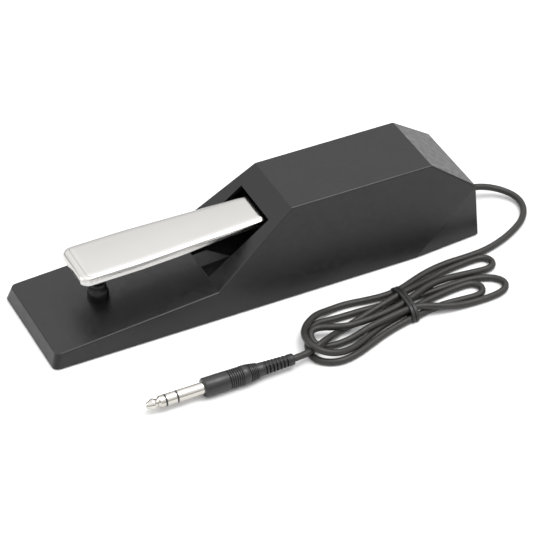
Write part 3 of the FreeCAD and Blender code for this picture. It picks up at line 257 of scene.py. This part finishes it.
# Each finish's recipe, its dark and its light shade, and the recipe's other values.
FINISHES = {
    "shell_plastic": (moulded, grey(0.003), grey(0.0048), 0.35, 2400, 0.02),
    # Grey moulding for the tongue inside the opening; part of its lightness is painted light,
    # standing in for the light that reaches the tongue under the lever.
    "grey_plastic": (moulded, grey(0.016), grey(0.022), 0.5),
    "zinc_steel": (metal, (0.50, 0.51, 0.52), (0.66, 0.67, 0.68), 0.28, 0.46),
    "plate_black": (moulded, grey(0.008), grey(0.012), 0.5),
    "zinc_screw": (metal, (0.48, 0.49, 0.50), (0.64, 0.65, 0.66), 0.24, 0.42),
    "mat_rubber": (rubber, grey(0.012), grey(0.02), 0.72),
    "bright_steel": (plated, (0.575, 0.562, 0.545), (0.59, 0.578, 0.562), 0.2, 0.24),
    "white_nylon": (moulded, grey(0.62), grey(0.7), 0.4),
    "black_nylon": (moulded, grey(0.013), grey(0.02), 0.38),
    "bright_pin": (metal, (0.6, 0.6, 0.6), (0.72, 0.72, 0.72), 0.12, 0.24),
    "spring_steel": (metal, (0.34, 0.34, 0.35), (0.5, 0.5, 0.5), 0.2, 0.34),
    "black_rubber": (rubber, grey(0.003), grey(0.006), 0.34),
    "sensor_can": (metal, (0.5, 0.48, 0.42), (0.6, 0.58, 0.52), 0.3, 0.42),
    "nickel": (metal, (0.52, 0.50, 0.46), (0.62, 0.60, 0.56), 0.1, 0.22),
    "tin": (metal, (0.6, 0.6, 0.6), (0.7, 0.7, 0.7), 0.26, 0.4),
    "cable_rubber": (rubber, grey(0.014), grey(0.02), 0.55),
    "lead_insulation": (moulded, (0.35, 0.05, 0.03), (0.4, 0.07, 0.04), 0.4),
    "cable_jacket": (rubber, (0.017, 0.0165, 0.015), (0.023, 0.022, 0.020), 0.46),
    "tie_wire": (rubber, grey(0.012), grey(0.018), 0.4),
    "plug_plastic": (moulded, grey(0.011), grey(0.016), 0.34, 2200, 0.02),
    "plug_rubber": (rubber, grey(0.011), grey(0.015), 0.42),
}


def make_materials():
    return {name: recipe(name, *values) for name, (recipe, *values) in FINISHES.items()}


def dress(looks):
    """Gives every CAD node the finish that the record names for it."""
    slot_of = {entry["node"]: entry["material_slot"] for entry in frame["record"]["subparts"]}
    for name, thing in nodes.items():
        thing.data.materials.clear()
        thing.data.materials.append(looks[slot_of[name]])


# ------------------------------------------------------------------- stage
FLOOR_REACH = 3.0  # metres from the middle to each edge
FLOOR_PARTS = 8
DOME = (0.3, 1.85)  # strength at the horizon and overhead
# Name, place in metres, power in watts, width and height in metres.
LAMPS = [
    ("overhead", (0.26, 0.42, 1.3), 9.5, (0.7, 0.7)),
    ("front_left", (-0.6, -1.3, 0.7), 3, (0.8, 0.5)),
]
LAMP_AIM = Vector((0, 0, 0.02))


def add_stage():
    """The pale floor that the pedal stands on."""
    mesh = bpy.data.meshes.new("floor")
    build = bmesh.new()
    bmesh.ops.create_grid(build, x_segments=FLOOR_PARTS, y_segments=FLOOR_PARTS, size=FLOOR_REACH)
    build.to_mesh(mesh)
    build.free()
    floor = bpy.data.objects.new("floor", mesh)
    bpy.context.scene.collection.objects.link(floor)
    look = Finish("floor_card", (0.8, 0.8, 0.8), 0.7)
    look.mottle(look.noise(3, 2), (0.79, 0.79, 0.79), (0.81, 0.81, 0.81))
    mesh.materials.append(look.material)


def add_light(name, where, power, size):
    data = bpy.data.lights.new(name, "AREA")
    data.energy = power
    data.shape = "RECTANGLE"
    data.size, data.size_y = size
    lamp = bpy.data.objects.new(name, data)
    lamp.location = where
    lamp.rotation_euler = (Vector(where) - LAMP_AIM).to_track_quat("Z", "Y").to_euler()
    bpy.context.scene.collection.objects.link(lamp)


def light_studio():
    """A white dome that brightens from the horizon up, and two soft boxes."""
    world = bpy.data.worlds.new("studio")
    world.use_nodes = True
    tree = world.node_tree
    background = tree.nodes["Background"]
    place = tree.nodes.new("ShaderNodeTexCoord")
    split = tree.nodes.new("ShaderNodeSeparateXYZ")
    climb = tree.nodes.new("ShaderNodeMapRange")
    climb.inputs["From Min"].default_value = 0.0
    climb.inputs["From Max"].default_value = 1.0
    climb.inputs["To Min"].default_value = DOME[0]
    climb.inputs["To Max"].default_value = DOME[1]
    tree.links.new(place.outputs["Generated"], split.inputs["Vector"])
    tree.links.new(split.outputs["Z"], climb.inputs["Value"])
    tree.links.new(climb.outputs["Result"], background.inputs["Strength"])
    background.inputs["Color"].default_value = (1, 1, 1, 1)
    bpy.context.scene.world = world
    for lamp in LAMPS:
        add_light(*lamp)
    bpy.context.scene.view_settings.view_transform = "Standard"
    bpy.context.scene.view_settings.look = "None"


# ---------------------------------------------------------------- mesh tools
def mesh_piece(name, build, body, replaced, slot):
    """A bmesh made into a smooth-shaded piece that rides on a body and stands for CAD nodes."""
    mesh = bpy.data.meshes.new(name)
    bmesh.ops.recalc_face_normals(build, faces=build.faces)
    build.to_mesh(mesh)
    build.free()
    for polygon in mesh.polygons:
        polygon.use_smooth = True
    piece = bpy.data.objects.new(name, mesh)
    bpy.context.scene.collection.objects.link(piece)
    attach(piece, body)
    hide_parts(*replaced)
    mesh.materials.append(looks[slot])
    return piece


def crease_shading(piece, angle):
    """Smooth shading, but with the edges that turn by more than the angle kept sharp."""
    mesh = piece.data
    build = bmesh.new()
    build.from_mesh(mesh)
    for edge in build.edges:
        sharp = edge.is_manifold and edge.calc_face_angle(0.0) > math.radians(angle)
        edge.smooth = not sharp
    build.to_mesh(mesh)
    build.free()


def lathe(build, profile, place, sides):
    """Closed turned solid: profile is (reach along place's z, radius), in mm."""
    rings = []
    for reach, radius in profile:
        circle = []
        for step in range(sides):
            turn = 2 * math.pi * step / sides
            corner = Vector((radius * math.cos(turn), radius * math.sin(turn), reach)) * MM
            circle.append(build.verts.new(place @ corner))
        rings.append(circle)
    for lower, upper in zip(rings, rings[1:]):
        for step in range(sides):
            after = (step + 1) % sides
            build.faces.new((lower[step], lower[after], upper[after], upper[step]))
    build.faces.new(rings[0])
    build.faces.new(list(reversed(rings[-1])))


# -------------------------------------------------------------------- plug
def barrel_place():
    """Frame on the plug's axis, z running back from the barrel's front face."""
    low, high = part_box("plug_barrel")
    middle = (low + high) / 2
    turn = Matrix.Rotation(math.radians(-90), 4, "X")
    return Matrix.Translation((middle.x, low.y, middle.z)) @ turn


def grooved(start, end, crest, root, ribs):
    """Profile points of a band of round-topped ribs."""
    points = []
    pitch = (end - start) / ribs
    for number in range(ribs):
        foot = start + number * pitch
        points += [
            (foot + 0.10 * pitch, root), (foot + 0.28 * pitch, crest - 0.06),
            (foot + 0.42 * pitch, crest), (foot + 0.64 * pitch, crest),
            (foot + 0.78 * pitch, crest - 0.06), (foot + 0.94 * pitch, root),
        ]
    return points


# Along the plug's axis from the barrel's front face, radius.
BARREL_BODY = [(0.0, 4.3), (0.1, 4.6), (0.5, 4.9), (0.9, 5.0), (13.3, 5.0), (13.6, 4.9)]
BARREL_GRIP = (13.8, 20.9, 4.95, 4.35, 6)  # start, end, crest, root, ribs
BARREL_COLLAR = [(21.0, 4.9), (21.2, 5.0), (24.6, 4.95), (24.9, 4.7)]
BARREL_NECK = [(30.1, 3.85), (30.3, 3.6), (32.5, 3.55), (32.6, 3.4)]
# The rings between collar and neck, which get smaller to the back.
REAR_RINGS = 5
REAR_RING_FROM, REAR_RING_PITCH = 25.2, 0.95
REAR_RING_WIDE, REAR_RING_TAPER, REAR_RING_DEEP = 4.75, 0.15, 0.35
PLUG_SIDES = 64


def rear_rings():
    points = []
    for number in range(REAR_RINGS):
        start = REAR_RING_FROM + number * REAR_RING_PITCH
        wide = REAR_RING_WIDE - number * REAR_RING_TAPER
        root = wide - REAR_RING_DEEP
        points += [(start, root), (start + 0.2, wide), (start + 0.6, wide), (start + 0.8, root)]
    return points


def add_plug_barrel():
    profile = BARREL_BODY + grooved(*BARREL_GRIP) + BARREL_COLLAR + rear_rings() + BARREL_NECK
    build = bmesh.new()
    lathe(build, profile, barrel_place(), PLUG_SIDES)
    piece = mesh_piece("barrel", build, "base", ["plug_barrel"], "plug_plastic")
    crease_shading(piece, 40)
    return piece


RELIEF_FROM, RELIEF_TO = 32.6, 50.0
RELIEF_CORE = (2.3, 2.0)  # radius in front, behind
RELIEF_CORE_SIDES = 32
RELIEF_RINGS, RELIEF_PITCH = 7, 2.0
RELIEF_RING_FROM, RELIEF_RING_WIDE, RELIEF_RING_TAPER = 1.75, 3.5, 0.075
RELIEF_INNER = 2.0
# Back from the sleeve's front, radius.
RELIEF_COLLAR = [(0.0, 2.5), (0.0, 3.4), (0.2, 3.5), (0.9, 3.5), (1.1, 3.4), (1.1, 2.2)]
# From the sleeve's end, radius.
RELIEF_END = [(-3.0, 2.0), (-3.0, 3.0), (-2.85, 3.1), (-0.35, 3.05), (-0.1, 2.9), (0.0, 2.6),
              (0.0, 1.9)]
# The ribs that tie the rings together, above and below.
RIB_FROM, RIB_LONG, RIB_HALF_ANGLE = 0.9, 1.1, 0.55
RIB_OUTER, RIB_TAPER = 3.2, 0.07


def add_plug_relief():
    """Moulded sleeve: a thin core, separate rings on it, and a rib between rings on two sides."""
    build = bmesh.new()
    place = barrel_place()
    lathe(build, [(RELIEF_FROM + along, radius) for along, radius in RELIEF_COLLAR],
          place, PLUG_SIDES)
    core = [(RELIEF_FROM, RELIEF_CORE[0]), (RELIEF_TO - 0.3, RELIEF_CORE[1])]
    lathe(build, core, place, RELIEF_CORE_SIDES)
    for number in range(RELIEF_RINGS):
        foot = RELIEF_FROM + RELIEF_RING_FROM + number * RELIEF_PITCH
        wide = RELIEF_RING_WIDE - RELIEF_RING_TAPER * number
        ring = [(foot, RELIEF_INNER), (foot, wide - 0.1), (foot + 0.12, wide),
                (foot + 1.0, wide - 0.03), (foot + 1.12, wide - 0.13),
                (foot + 1.12, RELIEF_INNER)]
        lathe(build, ring, place, PLUG_SIDES)
    for side in (-1, 1):
        for number in range(RELIEF_RINGS + 1):
            foot = RELIEF_FROM + RIB_FROM + number * RELIEF_PITCH
            outer = RIB_OUTER - RIB_TAPER * number
            for face in rib(foot, foot + RIB_LONG, side * math.pi / 2, outer):
                build.faces.new([build.verts.new(place @ (Vector(spot) * MM)) for spot in face])
    lathe(build, [(RELIEF_TO + along, radius) for along, radius in RELIEF_END], place, PLUG_SIDES)
    bmesh.ops.remove_doubles(build, verts=build.verts, dist=1e-6)
    piece = mesh_piece("relief", build, "base", ["plug_relief"], "plug_rubber")
    crease_shading(piece, 40)
    return piece


def rib(start, end, turn, outer):
    """The outer and side faces of a short rib that lies along the turned sleeve."""
    def corner(radius, angle, reach):
        return (radius * math.cos(angle), radius * math.sin(angle), reach)

    def strip(first, second):
        return [corner(*first, start), corner(*second, start),
                corner(*second, end), corner(*first, end)]

    low, high = turn - RIB_HALF_ANGLE, turn + RIB_HALF_ANGLE
    middle = (low + high) / 2
    return [
        strip((outer, low), (outer, middle)), strip((outer, middle), (outer, high)),
        strip((RELIEF_INNER, low), (outer, low)), strip((RELIEF_INNER, high), (outer, high)),
    ]


# --------------------------------------------------------------------- tie
TIE_AT = 181.6
TIE_SLANT = -0.04  # how much further back it lies per mm across
# Section of the bundle that it is pulled round: beside, height.
TIE_LOOP = [
    (53.7, 0.7), (52.9, 2.4), (54.2, 4.6), (58.2, 6.5), (61.6, 7.6), (66.0, 7.8), (71.0, 7.8),
    (75.0, 7.4), (77.9, 5.4), (79.3, 2.8), (78.7, 0.7), (74.0, 0.35), (66.0, 0.35), (58.0, 0.35),
]
TIE_STRAND = (1.9, 0.62)  # width along the cable, thickness
TIE_OFFSETS = (-1.05, 1.05)  # the two turns, side by side
TIE_STEPS = 84
TIE_LOWEST = 0.02


def on_loop(loop, share):
    """Point and outward direction on a smooth closed loop (Catmull-Rom), share from 0 to 1."""
    count = len(loop)
    whole = share * count
    first = int(whole) % count
    t = whole - int(whole)
    spots = [Vector(loop[(first + step) % count]) for step in (-1, 0, 1, 2)]
    place = 0.5 * (2 * spots[1] + (spots[2] - spots[0]) * t
                   + (2 * spots[0] - 5 * spots[1] + 4 * spots[2] - spots[3]) * t ** 2
                   + (3 * spots[1] - spots[0] - 3 * spots[2] + spots[3]) * t ** 3)
    heading = 0.5 * ((spots[2] - spots[0])
                     + 2 * (2 * spots[0] - 5 * spots[1] + 4 * spots[2] - spots[3]) * t
                     + 3 * (3 * spots[1] - spots[0] - 3 * spots[2] + spots[3]) * t ** 2)
    heading.normalize()
    return place, Vector((-heading.y, heading.x))


def band_section(wide, thick):
    """Flat strip with round edges: points (along the cable, outward)."""
    steps = 6
    reach, half = wide / 2 - thick / 2, thick / 2
    points = []
    for centre, start in ((reach, -90), (-reach, 90)):
        for step in range(steps + 1):
            turn = math.radians(start + 180 * step / steps)
            points.append((centre + half * math.cos(turn), half * math.sin(turn)))
    return points


def add_tie():
    """A flat band that goes twice round the waist: two closed turns, side by side."""
    build = bmesh.new()
    section = band_section(*TIE_STRAND)
    middle = sum(beside for beside, height in TIE_LOOP) / len(TIE_LOOP)
    for offset in TIE_OFFSETS:
        rings = []
        for step in range(TIE_STEPS):
            place, outward = on_loop(TIE_LOOP, step / TIE_STEPS)
            ring = []
            for behind, out in section:
                beside = place.x + outward.x * out
                height = place.y + outward.y * out
                back = TIE_AT + offset + behind + (beside - middle) * TIE_SLANT
                ring.append(build.verts.new(at(beside, back, max(height, TIE_LOWEST))))
            rings.append(ring)
        for step in range(TIE_STEPS):
            here, there = rings[step], rings[(step + 1) % TIE_STEPS]
            for corner in range(len(section)):
                after = (corner + 1) % len(section)
                build.faces.new((here[corner], here[after], there[after], there[corner]))
    return mesh_piece("tie", build, "base", ["cable_tie"], "tie_wire")


# --------------------------------------------------------------- lever cap
PIVOT = (186.0, 27.0)  # behind, height
REST_TILT = math.radians(1.0)
CAP_TOP = 12.7  # above the pivot
CAP_FRONT, CAP_KNEE, CAP_BACK = 25.0, 58.0, 130.0
CAP_HALF = (14.8, 11.6)  # as far as the knee, back
CAP_CORNER = (4.6, 2.4)  # corner radius in front, behind
CAP_LEAST_CORNER = 0.4
CAP_DEEP = 5.6  # depth of the rim in front
CAP_RUNOUT = 80.0  # the rim gets shallower from here to the back
CAP_LIP = 2.8  # depth left at the back
CAP_ROLLED = 1.0  # depth of the rolled edge, which stays the same all round
CAP_BAND = 1.4  # width of the sloping band along the top's edge
CAP_NOSE_SLOPE = 2.0  # how much wider the band is across the front
CAP_EASE, CAP_EASE_SHIFT = 0.004, 0.016  # softness of the bend at the knee
# Inset and depth, from the flat top, over the shoulder crease, down the rim and back up inside.
CAP_SECTION = [
    (4.2, 0.0), (2.6, 0.1), (1.9, 0.26), (1.5, 0.52), (1.42, 0.64), (1.3, 0.68), (1.1, 0.72),
    (0.75, 0.94), (0.42, 1.32), (0.18, 1.9), (0.04, 2.7), (0.0, 3.7), (0.0, 4.9), (0.12, 5.4),
    (0.5, 5.6), (0.9, 5.5), (1.15, 5.0), (1.3, 3.2), (1.9, 1.75), (3.6, 1.5),
]
SIDE_STEPS = 24
CORNER_STEPS = 7


def cap_outline(inset):
    """The cap's plan, drawn in by inset: points (beside, behind), the same number each time."""
    front = CAP_FRONT + inset + CAP_NOSE_SLOPE * min(inset / CAP_BAND, 1.0)
    back = CAP_BACK - inset
    wide, narrow = [value - inset for value in CAP_HALF]
    big, small = [max(value - inset, CAP_LEAST_CORNER) for value in CAP_CORNER]
    corners = [
        (wide - big, front + big, big, -90),
        (narrow - small, back - small, small, 0),
        (small - narrow, back - small, small, 90),
        (big - wide, front + big, big, 180),
    ]
    rounded = []
    for beside, behind, curve, start in corners:
        arc = []
        for step in range(CORNER_STEPS + 1):
            turn = math.radians(start + 90 * step / CORNER_STEPS)
            arc.append((beside + curve * math.cos(turn), behind + curve * math.sin(turn)))
        rounded.append(arc)
    near = side_points(rounded[0][-1], rounded[1][0], wide)
    far = [(-beside, behind) for beside, behind in reversed(near)]
    return rounded[0] + near + rounded[1] + rounded[2] + far + rounded[3]


def side_points(first, last, wide):
    """Points between two corners: parallel as far as the knee, then narrowing to the back."""
    points = []
    for step in range(1, SIDE_STEPS):
        share = step / SIDE_STEPS
        behind = first[1] + (last[1] - first[1]) * share
        past = (behind - CAP_KNEE) / (last[1] - CAP_KNEE)
        eased = 0.5 * (past + math.sqrt(past * past + CAP_EASE)) - CAP_EASE_SHIFT
        points.append((wide + (last[0] - wide) * max(eased, 0.0), behind))
    return points


def on_lever(beside, behind, depth):
    """World place of a point on the cap, depth below its flat top, with the lever at rest."""
    reach = behind - PIVOT[0]
    height = CAP_TOP - depth
    along = reach * math.cos(REST_TILT) - height * math.sin(REST_TILT)
    rise = reach * math.sin(REST_TILT) + height * math.cos(REST_TILT)
    return at(beside, PIVOT[0] + along, PIVOT[1] + rise)


def rim_depth(depth, behind):
    """Depths below the rolled edge shrink towards the back, where the rim runs out."""
    if depth <= CAP_ROLLED or behind <= CAP_RUNOUT:
        return depth
    share = (behind - CAP_RUNOUT) / (CAP_BACK - CAP_RUNOUT)
    limit = CAP_DEEP + (CAP_LIP - CAP_DEEP) * share
    return CAP_ROLLED + (depth - CAP_ROLLED) * (limit - CAP_ROLLED) / (CAP_DEEP - CAP_ROLLED)


def add_cap():
    build = bmesh.new()
    rings = []
    for inset, depth in CAP_SECTION:
        ring = []
        for beside, behind in cap_outline(inset):
            ring.append(build.verts.new(on_lever(beside, behind, rim_depth(depth, behind))))
        rings.append(ring)
    count = len(rings[0])
    for upper, lower in zip(rings, rings[1:]):
        for step in range(count):
            after = (step + 1) % count
            build.faces.new((upper[step], upper[after], lower[after], lower[step]))
    build.faces.new(rings[0])
    build.faces.new(list(reversed(rings[-1])))
    piece = mesh_piece("cap", build, "lever", ["lever_cap"], "bright_steel")
    crease_shading(piece, 12)


# ------------------------------------------------------------------ bumper
BUMPER_SIDES = 48
# Share of the height, share of the radius.
BUMPER_SECTION = [
    (0.0, 0.86), (0.03, 0.93), (0.10, 0.98), (0.22, 1.0), (0.50, 0.99), (0.60, 0.96),
    (0.66, 0.90), (0.68, 0.86), (0.675, 0.82), (0.69, 0.79), (0.86, 0.78), (0.93, 0.74),
    (0.98, 0.66), (1.0, 0.54),
]


def add_bumper():
    low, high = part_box("front_bumper")
    middle = (low + high) / 2
    radius = (high.x - low.x) / 2 / MM
    tall = (high.z - low.z) / MM
    build = bmesh.new()
    profile = [(share * tall, width * radius) for share, width in BUMPER_SECTION]
    lathe(build, profile, Matrix.Translation((middle.x, middle.y, low.z)), BUMPER_SIDES)
    piece = mesh_piece("bumper", build, "base", ["front_bumper"], "black_rubber")
    crease_shading(piece, 40)


# ------------------------------------------------------------------ spring
def add_spring():
    """The CAD spring's mesh, copied with its own data and riding on the base."""
    source = nodes["return_spring"].data
    copy = bpy.data.objects.new("spring", source.copy())
    bpy.context.scene.collection.objects.link(copy)
    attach(copy, "base")
    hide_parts("return_spring")
    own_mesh(copy)
    copy.data.materials.clear()
    copy.data.materials.append(looks["spring_steel"])


# -------------------------------------------------------------------- make
place_camera()
cord = add_cord()
looks = make_materials()
dress(looks)
cord.data.materials.append(looks["cable_jacket"])
barrel = add_plug_barrel()
relief = add_plug_relief()
tie = add_tie()
add_spring()
add_cap()
add_bumper()
add_stage()
light_studio()

bpy.context.view_layer.update()
